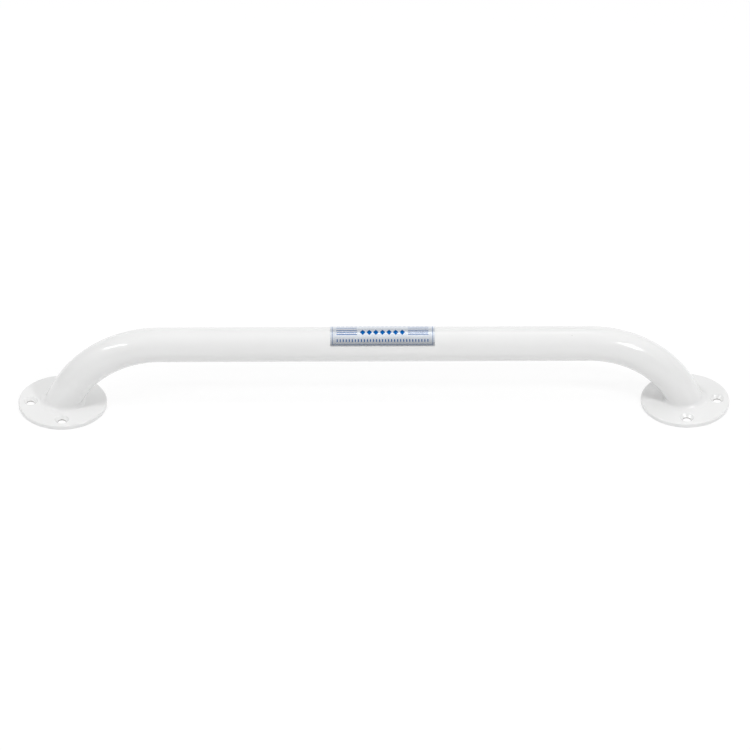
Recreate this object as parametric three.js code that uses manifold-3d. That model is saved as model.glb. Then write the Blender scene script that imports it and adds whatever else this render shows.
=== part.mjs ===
// White steel grab bar: a bent tube, a round flange and a weld bead at each end, and a foil label.
// Millimetres. X runs along the bar, Z points away from the wall, and the origin lies on the wall
// midway between the flanges.
import * as THREE from 'three';
import { mergeVertices } from 'three/addons/utils/BufferGeometryUtils.js';
import Module from 'manifold-3d';

const wasm = await Module();
wasm.setup();

// Bar: one steel tube, bent at both ends
const flangeCentres = 457.2; // between the middles of the two flanges
const tubeDiameter = 25.4;
const tubeWall = 1.5;
const bendRadius = 76.2; // to the middle of the tube
const handGap = 40; // between the wall and the tube's straight run
const endStraight = 6.3; // unbent stretch between a flange's face and the bend

// Flanges: flat round plates with countersunk screw holes
const flangeDiameter = 65;
const flangeThickness = 3;
const rimRadius = 0.8; // soft edge round the outer face
const screwHole = 6;
const screwSink = 10.4; // width of the countersink at the face
const screwSinkDegrees = 90;
const screwDegrees = [-90, 0, 90]; // from the side that faces away from the other flange
const screwPlaceShare = 0.47; // of the way from the tube's opening to the rim

// Weld beads: a hollow-faced fillet between tube and flange
const weldLeg = 3; // up the tube, and out along the flange
const weldHollowShare = 0.36; // of the leg: how far the face's control point stands from the corner
const seatGap = 0.3; // round the tube, where it passes through a flange and its bead

// Label: thin foil wrapped over the tube's outer side
const labelLength = 76;
const labelWrapLength = 27.4; // round the tube's surface
const labelThickness = 0.15;
const labelGap = 0.1;
const labelCentre = 5.6; // from the middle of the bar

// Cutting and joining
const overrun = 2; // how far a cutting shape runs past what it cuts
const mergeDistance = 0.0005;

// Facets
const tubeSides = 60;
const boreSides = 24;
const bendSteps = 18;
const flangeSides = 84;
const rimSteps = 2;
const holeSides = 24;
const weldSides = 60;
const weldFaceSteps = 5;
const labelSteps = 16;

const tubeRadius = tubeDiameter / 2;
const passageRadius = tubeRadius + seatGap;
const barHeight = handGap + tubeRadius; // the middle of the straight run, above the wall

// The bend turns the tube from the flange to the straight run. Its angle follows from the climb:
// climb = bendRadius * (1 - cos(angle)) + endStraight * sin(angle)
const climb = barHeight - flangeThickness;
const bendReach = Math.hypot(bendRadius, endStraight);
const bendAngle = Math.acos((bendRadius - climb) / bendReach) - Math.atan2(endStraight, bendRadius);
const slopeX = Math.cos(bendAngle);
const slopeZ = Math.sin(bendAngle);

// The bar's middle line from the left end to the right one. A step takes up each straight stretch,
// and bendSteps equal steps each bend.
class BarLine extends THREE.Curve {
  constructor() {
    super();
    this.halfSteps = bendSteps + 2;
    this.foot = new THREE.Vector3(
      endStraight * slopeX - flangeCentres / 2,
      0,
      flangeThickness + endStraight * slopeZ,
    );
    this.crownX = this.foot.x + bendRadius * slopeZ;
    const throughFlange = flangeThickness / slopeZ;
    this.lead = endStraight + throughFlange + (passageRadius * Math.abs(slopeX)) / slopeZ + overrun;
  }

  // Angle to the wall, in the left half
  slope(step) {
    return bendAngle * (1 - THREE.MathUtils.clamp((step - 1) / bendSteps, 0, 1));
  }

  leftPoint(step) {
    if (step < 1) {
      const back = this.lead * (1 - step);
      return new THREE.Vector3(this.foot.x - back * slopeX, 0, this.foot.z - back * slopeZ);
    }
    if (step > 1 + bendSteps) {
      return new THREE.Vector3(this.crownX * (this.halfSteps - step), 0, barHeight);
    }
    const angle = this.slope(step);
    return new THREE.Vector3(
      this.foot.x + bendRadius * (slopeZ - Math.sin(angle)),
      0,
      this.foot.z + bendRadius * (Math.cos(angle) - slopeX),
    );
  }

  getPoint(share) {
    const step = 2 * this.halfSteps * share;
    const mirrored = step > this.halfSteps;
    const point = this.leftPoint(mirrored ? 2 * this.halfSteps - step : step);
    return mirrored ? point.setX(-point.x) : point;
  }

  getTangent(share) {
    const step = 2 * this.halfSteps * share;
    const mirrored = step > this.halfSteps;
    const angle = this.slope(mirrored ? 2 * this.halfSteps - step : step);
    return new THREE.Vector3(Math.cos(angle), 0, mirrored ? -Math.sin(angle) : Math.sin(angle));
  }

  getPointAt(share) {
    return this.getPoint(share);
  }

  getTangentAt(share) {
    return this.getTangent(share);
  }
}

const barLine = new BarLine();

// The screw holes' middles lie between the flange's rim and the tube's opening, which reaches furthest
// out at the flange's back
const openingReach = (passageRadius + flangeThickness * slopeX) / slopeZ;
const screwRadius = openingReach + (flangeDiameter / 2 - openingReach) * screwPlaceShare;

function toSolid(geometry) {
  const shell = geometry.clone();
  shell.deleteAttribute('normal');
  shell.deleteAttribute('uv');
  const merged = mergeVertices(shell, mergeDistance);
  const corners = merged.index.array;
  const triangles = [];
  for (let i = 0; i < corners.length; i += 3) {
    const [a, b, c] = corners.slice(i, i + 3);
    if (a !== b && b !== c && c !== a) {
      triangles.push(a, b, c);
    }
  }
  return new wasm.Manifold(new wasm.Mesh({
    numProp: 3,
    vertProperties: Float32Array.from(merged.attributes.position.array),
    triVerts: Uint32Array.from(triangles),
  }));
}

function toGeometry(solid) {
  const mesh = solid.getMesh();
  const geometry = new THREE.BufferGeometry();
  geometry.setAttribute('position', new THREE.BufferAttribute(mesh.vertProperties, 3));
  geometry.setIndex(new THREE.BufferAttribute(mesh.triVerts, 1));
  return geometry.toNonIndexed();
}

// A solid of revolution about Z from an outline of radius and height
function revolved(outline, sides) {
  return new THREE.LatheGeometry(outline.getPoints(rimSteps), sides).rotateX(Math.PI / 2);
}

function ringPoints(radius, sides) {
  const points = [];
  for (let i = 0; i < sides; i += 1) {
    const angle = (2 * Math.PI * i) / sides;
    points.push(new THREE.Vector2(radius * Math.cos(angle), radius * Math.sin(angle)));
  }
  return points;
}

// A round bar, or a tube if it has a bore, along the bar's middle line
function sweptRound(radius, boreRadius = 0) {
  const section = new THREE.Shape(ringPoints(radius, tubeSides));
  if (boreRadius > 0) {
    section.holes.push(new THREE.Path(ringPoints(boreRadius, boreSides)));
  }
  return new THREE.ExtrudeGeometry(section, { steps: 2 * barLine.halfSteps, extrudePath: barLine });
}

// All that lies behind the wall's face, as far as the bar's ends reach
function behindWall() {
  const depth = barLine.lead + overrun;
  const wall = new THREE.BoxGeometry(flangeCentres + 2 * barLine.lead, flangeDiameter, depth);
  return toSolid(wall.translate(0, 0, -depth / 2));
}

function barTube() {
  const tube = toSolid(sweptRound(tubeRadius, tubeRadius - tubeWall));
  return toGeometry(tube.subtract(behindWall()));
}

// The pieces of an end are made about the middle of its flange, with +X towards the bar's middle

// The way that the tube takes through the flange and its bead
function tubePassage() {
  return toSolid(sweptRound(passageRadius).translate(flangeCentres / 2, 0, 0));
}

function screwCutter() {
  const sinkDepth = (screwSink - screwHole) / 2 / Math.tan(THREE.MathUtils.degToRad(screwSinkDegrees / 2));
  const outline = new THREE.Path();
  outline.moveTo(0, -sinkDepth - overrun);
  outline.lineTo(screwHole / 2, -sinkDepth - overrun);
  outline.lineTo(screwHole / 2, flangeThickness - sinkDepth);
  outline.lineTo(screwSink / 2, flangeThickness);
  outline.lineTo(screwSink / 2, flangeThickness + overrun);
  outline.lineTo(0, flangeThickness + overrun);
  return revolved(outline, holeSides);
}

function flange() {
  const radius = flangeDiameter / 2;
  const outline = new THREE.Path();
  outline.moveTo(0, 0);
  outline.lineTo(radius, 0);
  outline.lineTo(radius, flangeThickness - rimRadius);
  outline.absarc(radius - rimRadius, flangeThickness - rimRadius, rimRadius, 0, Math.PI / 2);
  outline.lineTo(0, flangeThickness);
  let plate = toSolid(revolved(outline, flangeSides)).subtract(tubePassage());
  for (const degrees of screwDegrees) {
    const angle = THREE.MathUtils.degToRad(180 + degrees);
    const cutter = screwCutter();
    cutter.translate(screwRadius * Math.cos(angle), screwRadius * Math.sin(angle), 0);
    plate = plate.subtract(toSolid(cutter));
  }
  return toGeometry(plate);
}

// A ring that carries the fillet's section round the slanted tube. Level by level the tube's outline
// is an ellipse, which moves inwards with the tube's slope; the section stands square to it. The
// ring's inner part lies in the tube's way and is cut off by the passage.
function weldBead() {
  const section = new THREE.Shape();
  section.moveTo(-tubeWall, 0);
  section.lineTo(weldLeg, 0);
  section.quadraticCurveTo(weldLeg * weldHollowShare, weldLeg * weldHollowShare, 0, weldLeg);
  section.lineTo(-tubeWall, weldLeg);
  const profile = section.getPoints(weldFaceSteps);
  const halfLength = tubeRadius / slopeZ;
  const corners = [];
  for (let i = 0; i < weldSides; i += 1) {
    const turn = (2 * Math.PI * i) / weldSides;
    const outward = new THREE.Vector2(Math.cos(turn) / halfLength, Math.sin(turn) / tubeRadius).normalize();
    for (const { x: reach, y: height } of profile) {
      corners.push(
        halfLength * Math.cos(turn) + reach * outward.x + (height * slopeX) / slopeZ,
        tubeRadius * Math.sin(turn) + reach * outward.y,
        flangeThickness + height,
      );
    }
  }
  const count = profile.length;
  const faces = [];
  for (let i = 0; i < weldSides; i += 1) {
    const next = (i + 1) % weldSides;
    for (let j = 0; j < count; j += 1) {
      const up = (j + 1) % count;
      const [a, b, c, d] = [i * count + j, next * count + j, next * count + up, i * count + up];
      faces.push(a, b, c, a, c, d);
    }
  }
  const ring = new THREE.BufferGeometry();
  ring.setAttribute('position', new THREE.Float32BufferAttribute(corners, 3));
  ring.setIndex(faces);
  return toGeometry(toSolid(ring).subtract(tubePassage()));
}

// A strip of foil bent to the tube, made along Z from its own left edge, its middle at -X
function label() {
  const inner = tubeRadius + labelGap;
  const halfAngle = labelWrapLength / 2 / tubeRadius;
  const section = new THREE.Shape();
  section.absarc(0, 0, inner, Math.PI - halfAngle, Math.PI + halfAngle);
  section.absarc(0, 0, inner + labelThickness, Math.PI + halfAngle, Math.PI - halfAngle, true);
  return new THREE.ExtrudeGeometry(section, {
    depth: labelLength,
    bevelEnabled: false,
    curveSegments: labelSteps / 2,
  });
}

function whitePaint() {
  return new THREE.MeshStandardMaterial({ color: 0xf1f1ef, roughness: 0.32, metalness: 0 });
}

function silverFoil() {
  return new THREE.MeshStandardMaterial({ color: 0xb8c0ca, roughness: 0.3, metalness: 1 });
}

function piece(name, geometry, material) {
  const mesh = new THREE.Mesh(geometry, material);
  mesh.name = name;
  return mesh;
}

const group = new THREE.Group();
group.add(piece('bar_tube', barTube(), whitePaint()));

const flangeShape = flange();
const beadShape = weldBead();
for (const [side, place, turn] of [['left', -flangeCentres / 2, 0], ['right', flangeCentres / 2, Math.PI]]) {
  const end = new THREE.Group();
  end.position.setX(place);
  end.rotation.z = turn;
  end.add(piece(`${side}_flange`, flangeShape, whitePaint()));
  end.add(piece(`${side}_weld_bead`, beadShape, whitePaint()));
  group.add(end);
}

const labelPiece = piece('centre_label', label(), silverFoil());
labelPiece.position.set(labelCentre - labelLength / 2, 0, barHeight);
labelPiece.rotation.y = Math.PI / 2;
group.add(labelPiece);

export default group;
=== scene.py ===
import math

import bmesh
import bpy
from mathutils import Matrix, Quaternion, Vector


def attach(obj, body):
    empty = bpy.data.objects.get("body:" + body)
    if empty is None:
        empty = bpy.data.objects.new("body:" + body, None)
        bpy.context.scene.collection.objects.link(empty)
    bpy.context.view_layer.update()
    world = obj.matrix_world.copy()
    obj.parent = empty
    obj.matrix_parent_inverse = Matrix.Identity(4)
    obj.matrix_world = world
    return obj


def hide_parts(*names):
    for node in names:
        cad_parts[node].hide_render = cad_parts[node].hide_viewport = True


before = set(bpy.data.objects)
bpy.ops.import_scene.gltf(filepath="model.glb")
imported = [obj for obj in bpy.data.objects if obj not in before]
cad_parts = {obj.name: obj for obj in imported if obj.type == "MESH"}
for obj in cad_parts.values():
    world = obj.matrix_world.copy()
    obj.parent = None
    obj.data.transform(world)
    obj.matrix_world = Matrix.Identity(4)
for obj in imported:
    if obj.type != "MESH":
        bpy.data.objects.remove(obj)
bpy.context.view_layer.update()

# White steel grab bar. Metres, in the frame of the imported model: X along the bar, Z away from the
# wall, the origin on the wall midway between the flanges.
MM = 0.001

# Bar: one steel tube, bent at both ends
FLANGE_CENTRES = 457.2 * MM
TUBE_RADIUS = 12.7 * MM
TUBE_WALL = 1.5 * MM
BEND_RADIUS = 76.2 * MM  # to the middle of the tube
HAND_GAP = 40 * MM  # between the wall and the straight run
END_STRAIGHT = 6.3 * MM  # between a flange's face and the bend
FOOT_LENGTH = 20 * MM  # drawn on from the bend, then cut off at the wall

# Flanges: flat round plates with countersunk screw holes
FLANGE_RADIUS = 32.5 * MM
FLANGE_THICKNESS = 3 * MM
RIM_RADIUS = 0.8 * MM  # round the outer face
BACK_RIM = 0.15 * MM  # round the back
SCREW_HOLE_RADIUS = 3 * MM
SCREW_SINK_RADIUS = 5.2 * MM
SCREW_SINK_DEPTH = 2.2 * MM
SCREW_BEARINGS = (90, 180, 270)  # on the left flange, in degrees round from +X
SCREW_PLACE_SHARE = 0.47  # of the way from the tube's opening to the rim
PAINTED_EDGE = 0.22 * MM  # taken off each cut edge, as thick paint softens it
HOLE_SHADE_MARGIN = 0.05 * MM  # how far outside a screw hole a face still belongs to its wall, which gets dark steel as painted shade
SEAT_GAP = 0.3 * MM  # round the tube, where it passes through a flange

# Welds: a hollow-faced fillet between the tube and the flange
WELD_LEG = 3 * MM
WELD_HOLLOW_SHARE = 0.22  # of the leg: how far the face's control point stands from the corner
WELD_TUCK = 0.35 * MM  # into the tube
WELD_SINK = 0.06 * MM  # into the flange
WELD_RIPPLES = 62
WELD_RIPPLE = 0.035 * MM  # a crest's height and a trough's depth
WELD_SWERVE = 3  # how many corners the ripples lag at the face's two edges
WELD_LUMPS = 0.07 * MM
WELD_LUMP_SIZE = 3.2 * MM

# Label: foil wrapped over the tube's outer side
LABEL_LENGTH = 76 * MM
LABEL_WRAP = 27.4 * MM  # round the tube's surface
LABEL_CENTRE = 5.6 * MM  # from the middle of the bar
LABEL_LIFT = 0.06 * MM  # off the tube
LABEL_THICKNESS = 0.12 * MM

# Facets
TUBE_SIDES = 128
BEND_STEPS = 40
FLANGE_SIDES = 144
RIM_STEPS = 6
BACK_RIM_STEPS = 3
HOLE_SIDES = 64
EDGE_STEPS = 3
RIPPLE_SIDES = 4
WELD_SIDES = RIPPLE_SIDES * WELD_RIPPLES
WELD_STEPS = 12
LABEL_CUTS = 18
LABEL_STEPS = 32
SHARP_DEGREES = 35
WELD_SHARP_DEGREES = 50

# Cutting and joining
PASSAGE_LENGTH = 30 * MM
OVERRUN = 1 * MM
MERGE_DISTANCE = 0.001 * MM
NEAR = 0.01 * MM
FACES_UP = 0.9  # least Z of the normal of a face that looks up

BAR_HEIGHT = HAND_GAP + TUBE_RADIUS
PASSAGE_RADIUS = TUBE_RADIUS + SEAT_GAP

# The bend turns the tube from its straight run down to the flange. Its angle follows from the climb
CLIMB = BAR_HEIGHT - FLANGE_THICKNESS
BEND_REACH = math.hypot(BEND_RADIUS, END_STRAIGHT)
BEND_ANGLE = math.acos((BEND_RADIUS - CLIMB) / BEND_REACH) - math.atan2(END_STRAIGHT, BEND_RADIUS)
SLOPE_X = math.cos(BEND_ANGLE)
SLOPE_Z = math.sin(BEND_ANGLE)
BEND_START_X = FLANGE_CENTRES / 2 - END_STRAIGHT * SLOPE_X - BEND_RADIUS * SLOPE_Z
BEND_CENTRE_Z = BAR_HEIGHT - BEND_RADIUS

# The screw holes lie between the flange's rim and the tube's opening, which reaches furthest at the back
OPENING_REACH = (PASSAGE_RADIUS + FLANGE_THICKNESS * SLOPE_X) / SLOPE_Z
SCREW_CIRCLE = OPENING_REACH + (FLANGE_RADIUS - OPENING_REACH) * SCREW_PLACE_SHARE

SELECT_MODES = {"verts": "VERT", "edges": "EDGE", "faces": "FACE"}
STEEL_AND_HOLE_SHADE_PLACE = 1  # bare steel's place among a painted piece's finishes, after the paint's 0; on screw hole walls it is painted shade

bpy.ops.object.select_all(action="DESELECT")


# Modelling by hand

def named(name):
    """Names the piece that was just added, and moves its place into its mesh."""
    piece = bpy.context.object
    piece.name = name
    piece.data.name = name
    bpy.ops.object.transform_apply(location=True, rotation=True, scale=True)
    return piece


def only(piece):
    """Selects that piece alone."""
    bpy.ops.object.select_all(action="DESELECT")
    piece.select_set(True)
    bpy.context.view_layer.objects.active = piece


def edit():
    """Enters edit mode with everything selected."""
    bpy.ops.object.mode_set(mode="EDIT")
    bpy.ops.mesh.select_all(action="SELECT")


def leave():
    """Leaves edit mode."""
    bpy.ops.object.mode_set(mode="OBJECT")


def pick(kind, test):
    """Selects only the verts, edges or faces that pass the test."""
    bpy.ops.mesh.select_mode(type=SELECT_MODES[kind])
    bpy.ops.mesh.select_all(action="DESELECT")
    shape = bmesh.from_edit_mesh(bpy.context.object.data)
    for part in getattr(shape, kind):
        if test(part):
            part.select_set(True)
    shape.select_flush_mode()
    bmesh.update_edit_mesh(bpy.context.object.data)


def middle(part):
    """The middle of an edge or a face."""
    return sum((vert.co for vert in part.verts), Vector()) / len(part.verts)


def draw_out(way):
    """Draws the selected edges out that way."""
    bpy.ops.mesh.extrude_edges_move(TRANSFORM_OT_translate={"value": tuple(way)})


def raise_faces(height):
    """Draws the selected faces up by that height."""
    bpy.ops.mesh.extrude_region_move(TRANSFORM_OT_translate={"value": (0, 0, height)})


def outward():
    """Merges doubles and turns every face outward."""
    bpy.ops.mesh.select_all(action="SELECT")
    bpy.ops.mesh.remove_doubles(threshold=MERGE_DISTANCE)
    bpy.ops.mesh.normals_make_consistent(inside=False)


def modifier(piece, kind, **settings):
    """Adds a modifier, sets it and applies it."""
    only(piece)
    step = piece.modifiers.new(kind.lower(), kind)
    for key, value in settings.items():
        setattr(step, key, value)
    bpy.ops.object.modifier_apply(modifier=step.name)


def cut(piece, cutter):
    """Cuts one piece out of another, and throws the cutter away."""
    modifier(piece, "BOOLEAN", operation="DIFFERENCE", solver="EXACT", object=cutter)
    bpy.data.objects.remove(cutter)


def smooth(piece, degrees=SHARP_DEGREES):
    """Shades the piece smooth, apart from edges sharper than that."""
    only(piece)
    bpy.ops.object.shade_smooth_by_angle(angle=math.radians(degrees))


def left_foot(height):
    """The middle of the tube's left foot, at that height over the flange's face."""
    return Vector((-FLANGE_CENTRES / 2 + height * SLOPE_X / SLOPE_Z, 0, FLANGE_THICKNESS + height))


def make_tube():
    """The right half is drawn out from the middle, then mirrored, given its wall and cut off at the wall's
    face."""
    bpy.ops.mesh.primitive_circle_add(
        vertices=TUBE_SIDES, radius=TUBE_RADIUS, fill_type="NOTHING",
        location=(0, 0, BAR_HEIGHT), rotation=(0, math.pi / 2, 0))
    tube = named("painted_tube")
    edit()
    draw_out((BEND_START_X, 0, 0))
    bpy.ops.mesh.spin(
        steps=BEND_STEPS, angle=-BEND_ANGLE, center=(BEND_START_X, 0, BEND_CENTRE_Z), axis=(0, 1, 0))
    draw_out((FOOT_LENGTH * SLOPE_X, 0, -FOOT_LENGTH * SLOPE_Z))
    outward()
    leave()
    modifier(tube, "MIRROR", use_axis=(True, False, False), merge_threshold=NEAR)
    edit()
    outward()
    leave()
    modifier(tube, "SOLIDIFY", thickness=TUBE_WALL, offset=-1, material_offset=STEEL_AND_HOLE_SHADE_PLACE)
    edit()
    bpy.ops.mesh.bisect(plane_co=(0, 0, 0), plane_no=(0, 0, 1), clear_inner=True)
    for side in (-1, 1):
        pick("edges", lambda edge: edge.is_boundary and middle(edge).x * side > 0)
        bpy.ops.mesh.bridge_edge_loops()
    outward()
    leave()
    smooth(tube)
    return tube


def tube_passage():
    """A round bar along the tube's left foot, as wide as the opening round it."""
    bpy.ops.mesh.primitive_cylinder_add(
        vertices=TUBE_SIDES, radius=PASSAGE_RADIUS, depth=PASSAGE_LENGTH,
        location=left_foot(-FLANGE_THICKNESS / 2), rotation=(0, math.pi / 2 - BEND_ANGLE, 0))
    return named("tube_passage")


def screw_cutter(x, y):
    """A shank that widens to the countersink at the flange's face."""
    shank = FLANGE_THICKNESS - SCREW_SINK_DEPTH + OVERRUN
    bpy.ops.mesh.primitive_cylinder_add(
        vertices=HOLE_SIDES, radius=SCREW_HOLE_RADIUS, depth=shank,
        location=(x, y, FLANGE_THICKNESS - SCREW_SINK_DEPTH - shank / 2))
    cutter = named("screw_cutter")
    edit()
    pick("faces", lambda face: face.normal.z > FACES_UP)
    wider = SCREW_SINK_RADIUS / SCREW_HOLE_RADIUS
    raise_faces(SCREW_SINK_DEPTH)
    bpy.ops.transform.resize(value=(wider, wider, 1), center_override=(x, y, FLANGE_THICKNESS))
    raise_faces(OVERRUN)
    leave()
    return cutter


def make_flange():
    """The left flange: a disc with soft rims, cut for the tube and the screws, with painted edges."""
    middle_x = -FLANGE_CENTRES / 2
    bpy.ops.mesh.primitive_circle_add(
        vertices=FLANGE_SIDES, radius=FLANGE_RADIUS, fill_type="NGON", location=(middle_x, 0, 0))
    flange = named("left_painted_flange")
    edit()
    raise_faces(FLANGE_THICKNESS)
    outward()
    for height, rim, steps in ((FLANGE_THICKNESS, RIM_RADIUS, RIM_STEPS), (0, BACK_RIM, BACK_RIM_STEPS)):
        pick("edges", lambda edge: all(abs(vert.co.z - height) < NEAR for vert in edge.verts))
        bpy.ops.mesh.bevel(offset=rim, segments=steps, affect="EDGES")
    leave()
    cut(flange, tube_passage())
    holes = []
    for degrees in SCREW_BEARINGS:
        angle = math.radians(degrees)
        holes.append(Vector((middle_x + SCREW_CIRCLE * math.cos(angle), SCREW_CIRCLE * math.sin(angle))))
        cut(flange, screw_cutter(*holes[-1]))
    edit()
    outward()
    leave()
    modifier(flange, "BEVEL", width=PAINTED_EDGE, segments=EDGE_STEPS, limit_method="ANGLE",
             angle_limit=math.radians(SHARP_DEGREES))
    smooth(flange)
    modifier(flange, "WEIGHTED_NORMAL", mode="FACE_AREA", weight=100, keep_sharp=True)
    # The screw holes' walls get the dark steel: painted shade inside the holes
    for face in flange.data.polygons:
        if any((face.center.xy - hole).length < SCREW_HOLE_RADIUS + HOLE_SHADE_MARGIN for hole in holes):
            face.material_index = STEEL_AND_HOLE_SHADE_PLACE
    return flange


def weld_face():
    """The hollow face from the toe on the flange to the top on the tube: each step's reach from the tube and
    its height over the flange."""
    face = []
    for i in range(WELD_STEPS + 1):
        t = i / WELD_STEPS
        hold = 2 * t * (1 - t) * WELD_HOLLOW_SHARE * WELD_LEG
        face.append(((1 - t) ** 2 * WELD_LEG + hold, hold + t ** 2 * WELD_LEG))
    return face


def weld_ring(reach, height):
    """The oval round the slanted tube at that step: its middle, and its half length and half width."""
    return left_foot(height), Vector((TUBE_RADIUS / SLOPE_Z + reach, TUBE_RADIUS + reach))


def ripple(at, size, lag):
    """Draws the oval's corners out at each crest and in at each trough, shifted round by the lag."""
    def spoke(vert):
        turn = math.atan2((vert.co.y - at.y) / size.y, (vert.co.x - at.x) / size.x)
        return (round(turn / math.tau * WELD_SIDES) + lag) % RIPPLE_SIDES

    for crest, lift in ((0, WELD_RIPPLE), (RIPPLE_SIDES // 2, -WELD_RIPPLE)):
        pick("verts", lambda vert: abs(vert.co.z - at.z) < MERGE_DISTANCE and spoke(vert) == crest)
        bpy.ops.transform.resize(value=(1 + lift / size.x, 1 + lift / size.y, 1), center_override=at)


def make_weld():
    """The left weld: a ring at its toe, drawn up and in along its face, tucked into the tube and closed
    underneath. Then its face gets crescent ripples and slight lumps."""
    face = weld_face()
    steps = [(WELD_LEG + WELD_SINK, -WELD_SINK)] + face
    steps += [(-WELD_TUCK, WELD_LEG + WELD_SINK), (-WELD_TUCK, -WELD_SINK)]
    at, size = weld_ring(*steps[0])
    bpy.ops.mesh.primitive_circle_add(vertices=WELD_SIDES, radius=size.x, fill_type="NOTHING", location=at)
    weld = named("left_painted_weld")
    bpy.ops.object.vertex_group_add()
    edit()
    bpy.ops.transform.resize(value=(1, size.y / size.x, 1), center_override=at)
    for step in steps[1:]:
        then, wide = weld_ring(*step)
        draw_out(then - at)
        bpy.ops.transform.resize(value=(wide.x / size.x, wide.y / size.y, 1), center_override=then)
        if step in face:
            bpy.ops.object.vertex_group_assign()
        at, size = then, wide
    pick("edges", lambda edge: edge.is_boundary)
    bpy.ops.mesh.bridge_edge_loops()
    outward()
    for i, step in enumerate(face):
        lag = round(WELD_SWERVE * (2 * i / WELD_STEPS - 1) ** 2)
        ripple(*weld_ring(*step), lag)
    leave()
    lumps = bpy.data.textures.new("weld_lumps", "CLOUDS")
    lumps.noise_scale = WELD_LUMP_SIZE
    modifier(weld, "DISPLACE", texture=lumps, texture_coords="LOCAL", strength=WELD_LUMPS,
             vertex_group=weld.vertex_groups[0].name)
    smooth(weld, WELD_SHARP_DEGREES)
    return weld


def make_label():
    """A straight edge as long as the label, turned down to one side, spun over the tube and given its
    thickness."""
    tube_middle = (LABEL_CENTRE, 0, BAR_HEIGHT)
    half_turn = LABEL_WRAP / 2 / TUBE_RADIUS
    bpy.ops.mesh.primitive_plane_add(
        size=LABEL_LENGTH, location=(LABEL_CENTRE, LABEL_LENGTH / 2, BAR_HEIGHT + TUBE_RADIUS + LABEL_LIFT))
    label = named("foil_label")
    edit()
    pick("verts", lambda vert: vert.co.y > LABEL_LENGTH / 2)
    bpy.ops.mesh.delete(type="VERT")
    bpy.ops.mesh.select_all(action="SELECT")
    bpy.ops.transform.rotate(value=half_turn, orient_axis="X", center_override=tube_middle)
    bpy.ops.mesh.subdivide(number_cuts=LABEL_CUTS)
    bpy.ops.mesh.select_all(action="SELECT")
    bpy.ops.mesh.spin(steps=LABEL_STEPS, angle=-2 * half_turn, center=tube_middle, axis=(1, 0, 0))
    outward()
    leave()
    modifier(label, "SOLIDIFY", thickness=LABEL_THICKNESS, offset=1)
    smooth(label)
    return label


def turned_copy(piece, name):
    """A copy with its own mesh, turned half round about Z to the other end of the bar."""
    only(piece)
    bpy.ops.object.duplicate(linked=False)
    copy = bpy.context.object
    copy.name = name
    copy.data.name = name
    edit()
    bpy.ops.transform.rotate(value=math.pi, orient_axis="Z", center_override=(0, 0, 0))
    leave()
    return copy


tube = make_tube()
left_flange = make_flange()
left_weld = make_weld()
label = make_label()
right_flange = turned_copy(left_flange, "right_painted_flange")
right_weld = turned_copy(left_weld, "right_painted_weld")


# Finishes

NOISE_SPAN = (0.3, 0.7)  # where nearly all of a noise's values lie

# White powder coat
COAT_WHITE = (0.871, 0.872, 0.870, 1)
COAT_SHADE = (0.862, 0.863, 0.860, 1)
COAT_TONE_SIZE = 30 * MM
COAT_ROUGHNESS = (0.10, 0.13)
COAT_GLOSS_SIZE = 9 * MM
COAT_IOR = 1.5
WAVE_SIZE = 7 * MM
WAVE_RELIEF = 0.02 * MM
PEEL_SIZE = 1.3 * MM
PEEL_RELIEF = 0.012 * MM
SPECK_PLACE = (143.6 * MM, -6.0 * MM, 63.9 * MM)
SPECK_EDGE = (0.15 * MM, 0.4 * MM)  # from its middle, where it starts to fade and where it ends
SPECK_COVER = 0.55
SPECK_GREY = (0.30, 0.29, 0.27, 1)

# Bare steel, in the tube's bore, and as painted shade on the screw holes' walls
STEEL_DARK = (0.36, 0.355, 0.345, 1)
STEEL_LIGHT = (0.47, 0.46, 0.45, 1)
STEEL_CONTRAST = (0.35, 0.65)
STEEL_ROUGHNESS = (0.38, 0.55)
STEEL_LINE = 0.5 * MM
STEEL_STRETCH = (0.08, 1, 1)
STEEL_RELIEF = 0.02 * MM
STEEL_BUMP = 0.3

# Silver foil
FOIL_LIGHT = (0.795, 0.838, 0.895, 1)
FOIL_DARK = (0.75, 0.79, 0.85, 1)
FOIL_TONE_SIZE = 6 * MM
FOIL_ROUGHNESS = (0.24, 0.34)
FOIL_LINE = 0.25 * MM
FOIL_STRETCH = (0.12, 1, 1)
FOIL_RELIEF = 0.01 * MM
FOIL_BUMP = 0.12
CREASE_SIZE = 5 * MM
CREASE_RELIEF = 0.03 * MM
CREASE_BUMP = 0.1
INK_BLUE = (0.002, 0.12, 0.42, 1)

# Print on the foil. A row's place is measured round the tube from the label's middle line to the front
PRINT_SOFT = 0.05 * MM
PRINT_LENGTH = 67 * MM
KEYLINE_OUTSIDE = (1.3 * MM, 1.1 * MM)  # in from the label's ends and from its sides
KEYLINE_INSIDE = (1.6 * MM, 1.35 * MM)
CHAIN_LENGTH = 33.2 * MM
LOZENGE_ROW = 2.8 * MM
LOZENGE_PITCH = 4.8 * MM
LOZENGE_LENGTH = 4.4 * MM
LOZENGE_WIDTH = 5.4 * MM
LOZENGE_EDGE_SHARES = (0.92, 1.0)
RULE_ROWS = (-2.2 * MM, 0.9 * MM, 2.8 * MM, 4.7 * MM)
RULE_WIDTH = 0.68 * MM
RULE_BREAK = 37.2 * MM  # left free in the middle
RULE_BREAK_SOFT = 0.02 * MM
DASH_ROW = -5.6 * MM
DASH_PITCH = 3.2 * MM
DASH_LENGTH = 2.1 * MM
DASH_WIDTH = 0.9 * MM
TICK_ROW = 9.6 * MM
TICK_PITCH = 2.2 * MM
TICK_LENGTH = 2 * MM  # round the tube
TICK_WIDTH = 0.74 * MM  # along it

# White paper
PAPER_TONES = (0.85, 0.87)
PAPER_FIBRE = 40 * MM
FLOOR_SHADE = 0.22  # how strongly the bar's shadow shows on it
FLOOR_LIGHT_SHARE = 0.9  # of white: what the lamps bring to open floor


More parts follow.
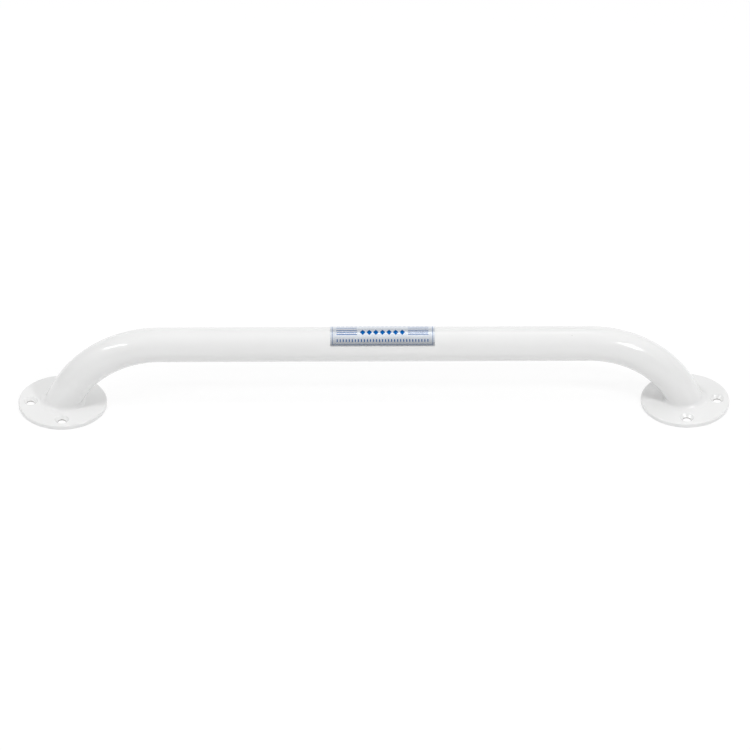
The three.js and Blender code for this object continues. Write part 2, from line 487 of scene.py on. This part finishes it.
def new_finish(name):
    """A new material, its nodes and its shader."""
    finish = bpy.data.materials.new(name)
    finish.use_nodes = True
    return finish, finish.node_tree, finish.node_tree.nodes["Principled BSDF"]


def feed(tree, node, **inputs):
    """Gives each input a value or the socket that feeds it. Names i0, i1 and so on are inputs by number."""
    for key, value in inputs.items():
        numbered = key[0] == "i" and key[1:].isdigit()
        socket = node.inputs[int(key[1:]) if numbered else key.replace("_", " ")]
        if isinstance(value, bpy.types.NodeSocket):
            tree.links.new(value, socket)
        else:
            socket.default_value = value


def add(tree, kind, settings=None, **inputs):
    """Adds a shader node with its settings and inputs."""
    node = tree.nodes.new("ShaderNode" + kind)
    for key, value in (settings or {}).items():
        setattr(node, key, value)
    feed(tree, node, **inputs)
    return node


def maths(tree, operation, *values, clamp=False):
    """The result of one sum."""
    inputs = {f"i{i}": value for i, value in enumerate(values)}
    return add(tree, "Math", {"operation": operation, "use_clamp": clamp}, **inputs).outputs[0]


def blended(tree, share, first, second):
    """A colour that share of the way from the first to the second."""
    return add(tree, "Mix", {"data_type": "RGBA"}, Factor=share, i6=first, i7=second).outputs[2]


def grain(tree, place, size, detail=2.0):
    """Noise with features of that size in metres."""
    return add(tree, "TexNoise", Vector=place, Scale=1 / size, Detail=detail).outputs["Fac"]


def ranged(tree, value, span, low, high):
    """Takes a value's span to the one from low to high."""
    ramp = add(tree, "MapRange", Value=value, From_Min=span[0], From_Max=span[1], To_Min=low, To_Max=high)
    return ramp.outputs[0]


def relief(tree, height, depth, strength=1.0, **under):
    """Bump of that depth in metres, over the one that is given as Normal."""
    return add(tree, "Bump", Height=height, Distance=depth, Strength=strength, **under).outputs[0]


def powder_coat():
    """White semi-gloss powder coat: fine orange peel over longer waves, slightly uneven in gloss and tone,
    with one grey speck."""
    finish, tree, shader = new_finish("white_powder_coat")
    place = add(tree, "TexCoord").outputs["Object"]
    tone = ranged(tree, grain(tree, place, COAT_TONE_SIZE, detail=3), NOISE_SPAN, 0, 1)
    from_speck = add(tree, "VectorMath", {"operation": "DISTANCE"}, i0=place, i1=SPECK_PLACE).outputs["Value"]
    speck = ranged(tree, from_speck, SPECK_EDGE, SPECK_COVER, 0)
    waves = relief(tree, grain(tree, place, WAVE_SIZE, detail=1), WAVE_RELIEF)
    feed(tree, shader, IOR=COAT_IOR,
         Base_Color=blended(tree, speck, blended(tree, tone, COAT_WHITE, COAT_SHADE), SPECK_GREY),
         Roughness=ranged(tree, grain(tree, place, COAT_GLOSS_SIZE), NOISE_SPAN, *COAT_ROUGHNESS),
         Normal=relief(tree, grain(tree, place, PEEL_SIZE), PEEL_RELIEF, Normal=waves))
    return finish


def drawn_steel_and_hole_shade():
    """Bare steel with fine lines along the bar: real in the tube's bore, and painted shade on the screw
    holes' walls.
    """
    finish, tree, shader = new_finish("bore_steel_and_hole_shade")
    place = add(tree, "TexCoord").outputs["Object"]
    drawn = add(tree, "Mapping", Vector=place, Scale=STEEL_STRETCH).outputs[0]
    lines = grain(tree, drawn, STEEL_LINE, detail=3)
    feed(tree, shader, Metallic=1,
         Base_Color=blended(tree, ranged(tree, lines, STEEL_CONTRAST, 0, 1), STEEL_DARK, STEEL_LIGHT),
         Roughness=ranged(tree, lines, NOISE_SPAN, *STEEL_ROUGHNESS),
         Normal=relief(tree, lines, STEEL_RELIEF, STEEL_BUMP))
    return finish


def label_print(tree, place):
    """Where the ink lies: a chain of lozenges between short rules, a row of dashes behind them and a row of
    fine ticks on each side, inside a keyline."""
    parts = add(tree, "SeparateXYZ", Vector=place).outputs
    along = maths(tree, "SUBTRACT", parts[0], LABEL_CENTRE)
    turn = maths(tree, "ARCTAN2", parts[1], maths(tree, "SUBTRACT", parts[2], BAR_HEIGHT))
    around = maths(tree, "MULTIPLY", turn, -TUBE_RADIUS)

    def away(value, centre):
        """How far a place is from a centre."""
        return maths(tree, "ABSOLUTE", maths(tree, "SUBTRACT", value, centre))

    def stripe(value, centre, width, soft=PRINT_SOFT):
        """1 within a stripe of that width, and 0 outside it."""
        return ranged(tree, away(value, centre), (width / 2 - soft, width / 2 + soft), 1, 0)

    def both(first, second):
        """1 where both marks are."""
        return maths(tree, "MULTIPLY", first, second)

    def either(*marks):
        """1 where any of the marks is."""
        total = marks[0]
        for mark in marks[1:]:
            total = maths(tree, "MAXIMUM", total, mark)
        return total

    def repeated(pitch):
        """How far along a place is from the nearest of marks set at that pitch."""
        return maths(tree, "PINGPONG", along, pitch / 2)

    def inset(ends, sides):
        """1 where the label's ends and sides are at least that far away."""
        return both(stripe(along, 0, LABEL_LENGTH - 2 * ends), stripe(around, 0, LABEL_WRAP - 2 * sides))

    keyline = maths(tree, "SUBTRACT", inset(*KEYLINE_OUTSIDE), inset(*KEYLINE_INSIDE), clamp=True)
    printed = stripe(along, 0, PRINT_LENGTH)
    share_along = maths(tree, "DIVIDE", repeated(LOZENGE_PITCH), LOZENGE_LENGTH / 2)
    share_across = maths(tree, "DIVIDE", away(around, LOZENGE_ROW), LOZENGE_WIDTH / 2)
    lozenge = ranged(tree, maths(tree, "ADD", share_along, share_across), LOZENGE_EDGE_SHARES, 1, 0)
    lozenges = both(lozenge, stripe(along, 0, CHAIN_LENGTH))
    flanks = maths(tree, "SUBTRACT", printed, stripe(along, 0, RULE_BREAK, RULE_BREAK_SOFT))
    rules = both(flanks, either(*(stripe(around, row, RULE_WIDTH) for row in RULE_ROWS)))
    dash_row = both(stripe(around, DASH_ROW, DASH_WIDTH), printed)
    dashes = both(stripe(repeated(DASH_PITCH), 0, DASH_LENGTH), dash_row)
    tick_rows = both(stripe(away(around, 0), TICK_ROW, TICK_LENGTH), printed)
    ticks = both(stripe(repeated(TICK_PITCH), 0, TICK_WIDTH), tick_rows)
    return either(keyline, lozenges, rules, dashes, ticks)


def printed_foil():
    """Silver foil, rolled lengthwise and slightly creased, with plain blue print."""
    finish, tree, shader = new_finish("printed_silver_foil")
    place = add(tree, "TexCoord").outputs["Object"]
    rolled = add(tree, "Mapping", Vector=place, Scale=FOIL_STRETCH).outputs[0]
    lines = grain(tree, rolled, FOIL_LINE, detail=3)
    tone = ranged(tree, grain(tree, place, FOIL_TONE_SIZE), NOISE_SPAN, 0, 1)
    silver = blended(tree, tone, FOIL_LIGHT, FOIL_DARK)
    creases = relief(tree, grain(tree, place, CREASE_SIZE, detail=1), CREASE_RELIEF, CREASE_BUMP)
    feed(tree, shader, Metallic=1,
         Base_Color=blended(tree, label_print(tree, place), silver, INK_BLUE),
         Roughness=ranged(tree, lines, NOISE_SPAN, *FOIL_ROUGHNESS),
         Normal=relief(tree, lines, FOIL_RELIEF, FOIL_BUMP, Normal=creases))
    return finish


def finds_white(tree, glossy_share):
    """1 for the rays that find plain white: the camera's, those through clear things and a share of glossy
    ones."""
    rays = add(tree, "LightPath").outputs
    glossy = maths(tree, "MULTIPLY", rays["Is Glossy Ray"], glossy_share)
    total = maths(tree, "ADD", rays["Is Camera Ray"], glossy)
    return maths(tree, "ADD", total, rays["Is Transmission Ray"], clamp=True)


def sweep_paper():
    """The white floor: plain pale paper that shows white to the camera and keeps the bar's soft shadow.
    From below it lets the camera through."""
    finish, tree, shader = new_finish("white_paper")
    tree.nodes.remove(shader)
    place = add(tree, "TexCoord").outputs["Object"]
    fibre = ranged(tree, grain(tree, place, PAPER_FIBRE, detail=4), NOISE_SPAN, *PAPER_TONES)
    tint = add(tree, "CombineColor", Red=fibre, Green=fibre, Blue=fibre).outputs[0]
    paper = add(tree, "BsdfDiffuse", Color=tint)
    shade = add(tree, "BsdfDiffuse", Color=(FLOOR_SHADE, FLOOR_SHADE, FLOOR_SHADE, 1))
    white = add(tree, "Emission", Strength=1 - FLOOR_SHADE * FLOOR_LIGHT_SHARE)
    seen = add(tree, "AddShader", i0=white.outputs[0], i1=shade.outputs[0])
    front = add(tree, "MixShader", i0=finds_white(tree, 1), i1=paper.outputs[0], i2=seen.outputs[0])
    clear = add(tree, "BsdfTransparent")
    behind = add(tree, "NewGeometry").outputs["Backfacing"]
    sheet = add(tree, "MixShader", i0=behind, i1=front.outputs[0], i2=clear.outputs[0])
    feed(tree, tree.nodes["Material Output"], Surface=sheet.outputs[0])
    return finish


paint = powder_coat()
steel = drawn_steel_and_hole_shade()
foil = printed_foil()
for piece in (tube, left_flange, right_flange, left_weld, right_weld):
    piece.data.materials.append(paint)
# The second finish: steel in the tube's bore, and painted shade on the screw holes' walls
for piece in (tube, left_flange, right_flange):
    piece.data.materials.append(steel)
label.data.materials.append(foil)

STANDS_FOR = {
    tube: "bar_tube", left_flange: "left_flange", right_flange: "right_flange",
    left_weld: "left_weld_bead", right_weld: "right_weld_bead", label: "centre_label"}
for piece, node in STANDS_FOR.items():
    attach(piece, "root")
    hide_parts(node)


# Studio

# Floor: a sheet of white paper
FLOOR_WIDTH = 1.4
FLOOR_DEPTH = 6
FLOOR_DROP = 0.1 * MM  # behind the flanges' backs

# Each lamp's bearing from the front and height in degrees, width, depth, watts, and roll in degrees. The
# paint lamps and their watts come from a least-squares fit to the photograph's tones
LAMP_DISTANCE = 2
PAINT_LAMPS = {
    "key_right": (45, 42.5, 0.35, 0.14, 9.4, 0),
    "key_left_high": (-62, 60, 0.14, 0.14, 5.65, 0),
    "key_left_low": (-62, 36, 0.14, 0.14, 3.4, 0)}
GLOSS_LAMPS = {
    "gloss_left": (-69.6, 48.2, 0.9, 0.2, 6.4, 20),
    "gloss_right": (52.5, 41.1, 0.56, 0.50, 9.5, 0),
    "gloss_top": (165.1, 67.1, 0.30, 0.25, 0.6, 0)}

# Panels of the pale room: bearing from the front, height and reach in degrees, and strength. The strengths of
# all but the last, and the glow between them, are that fit's output, rounded
PANELS = (
    (60, 55, 42, 0.245), (120, 55, 42, 0.432), (180, 55, 42, 0.057),
    (240, 55, 42, 0.307), (300, 55, 42, 0.262), (45, 18, 42, 0.045),
    (90, 18, 42, 0.097), (135, 18, 42, 0.384), (180, 18, 42, 0.278),
    (270, 18, 42, 0.158), (0, 90, 32, 0.134), (180, 89, 14, 0.24))
PANEL_CORE_SHARE = 1 / 8  # of a panel's reach: as far as it is at full strength
STUDIO_GLOW = 0.333  # of the room's walls between the panels

# Gloss finds white low down behind the bar. In shares of a ray's length, the white fades out over these
# heights and in over these depths
BACKDROP_HEIGHT_SHARES = (0.25, 0.5)
BACKDROP_DEPTH_SHARES = (0.5, 0.85)

# The photograph's viewpoint: a long lens, well above the bar and nearly square to it. The camera looks from
# that bearing and height, in degrees, and is rolled by a little
VIEW_PLACE = Vector((-66.592, -3524.414, 2509.925)) * MM
VIEW_BEARING = -1.09
VIEW_HEIGHT = 35.1798
VIEW_ROLL = 0.4472
VIEW_LENS = 282.642
VIEW_SENSOR = 36
VIEW_NEAR = 0.1
VIEW_FAR = 30


def lay_floor():
    """A sheet of paper just behind the flanges."""
    bpy.ops.mesh.primitive_plane_add(size=1, location=(0, 0, -FLOOR_DROP))
    bpy.ops.transform.resize(value=(FLOOR_WIDTH, FLOOR_DEPTH, 1))
    floor = named("paper_sweep")
    floor.data.materials.append(sweep_paper())


def direction(bearing, height):
    """The way out from the bar at that bearing from the front and that height, in degrees."""
    bearing = math.radians(bearing)
    height = math.radians(height)
    level = math.cos(height)
    return Vector((math.sin(bearing) * level, -math.cos(bearing) * level, math.sin(height)))


def set_up(name, device, place, away, roll):
    """Puts a lamp or a camera at a place, with its back turned away from the bar, and rolls it by degrees."""
    holder = bpy.data.objects.new(name, device)
    bpy.context.scene.collection.objects.link(holder)
    holder.location = place
    holder.rotation_mode = "QUATERNION"
    holder.rotation_quaternion = away.to_track_quat("Z", "Y") @ Quaternion((0, 0, 1), math.radians(roll))
    return holder


def softbox(name, bearing, height, width, depth, watts, roll):
    """An area lamp that faces the bar from that bearing and height. It doesn't show itself."""
    lamp = bpy.data.lights.new(name, "AREA")
    lamp.shape = "RECTANGLE"
    lamp.size = width
    lamp.size_y = depth
    lamp.energy = watts
    away = direction(bearing, height)
    holder = set_up(name, lamp, away * LAMP_DISTANCE + Vector((0, 0, BAR_HEIGHT)), away, roll)
    holder.visible_camera = False
    return holder


def studio_world():
    """A pale room with soft panels round the bar. It shows white to the camera."""
    world = bpy.data.worlds.new("pale_studio")
    bpy.context.scene.world = world
    world.use_nodes = True
    tree = world.node_tree
    place = add(tree, "TexCoord").outputs["Generated"]
    room = STUDIO_GLOW
    for bearing, height, reach, strength in PANELS:
        towards = direction(bearing, height)
        reach = math.radians(reach)
        near = add(tree, "VectorMath", {"operation": "DOT_PRODUCT"}, i0=place, i1=towards).outputs["Value"]
        panel = add(tree, "MapRange", {"interpolation_type": "SMOOTHSTEP"}, Value=near, To_Max=strength,
                    From_Min=math.cos(reach), From_Max=math.cos(reach * PANEL_CORE_SHARE))
        room = maths(tree, "ADD", room, panel.outputs[0])
    way = add(tree, "SeparateXYZ", Vector=place).outputs
    low = ranged(tree, way[2], BACKDROP_HEIGHT_SHARES, 1, 0)
    backdrop = maths(tree, "MULTIPLY", low, ranged(tree, way[1], BACKDROP_DEPTH_SHARES, 0, 1))
    white = finds_white(tree, backdrop)
    seen = add(tree, "Mix", {"data_type": "FLOAT"}, i0=white, i2=room, i3=1.0)
    feed(tree, tree.nodes["Background"], Color=(1, 1, 1, 1), Strength=seen.outputs[0])


def set_camera():
    """The camera at the photograph's viewpoint."""
    lens = bpy.data.cameras.new("viewpoint")
    lens.sensor_width = VIEW_SENSOR
    lens.lens = VIEW_LENS
    lens.clip_start = VIEW_NEAR
    lens.clip_end = VIEW_FAR
    away = direction(VIEW_BEARING, VIEW_HEIGHT)
    bpy.context.scene.camera = set_up("viewpoint", lens, VIEW_PLACE, away, VIEW_ROLL)


lay_floor()
for name, settings in PAINT_LAMPS.items():
    softbox(name, *settings).visible_glossy = False
for name, settings in GLOSS_LAMPS.items():
    softbox(name, *settings).visible_diffuse = False
studio_world()
set_camera()

bpy.context.scene.view_settings.view_transform = "Standard"
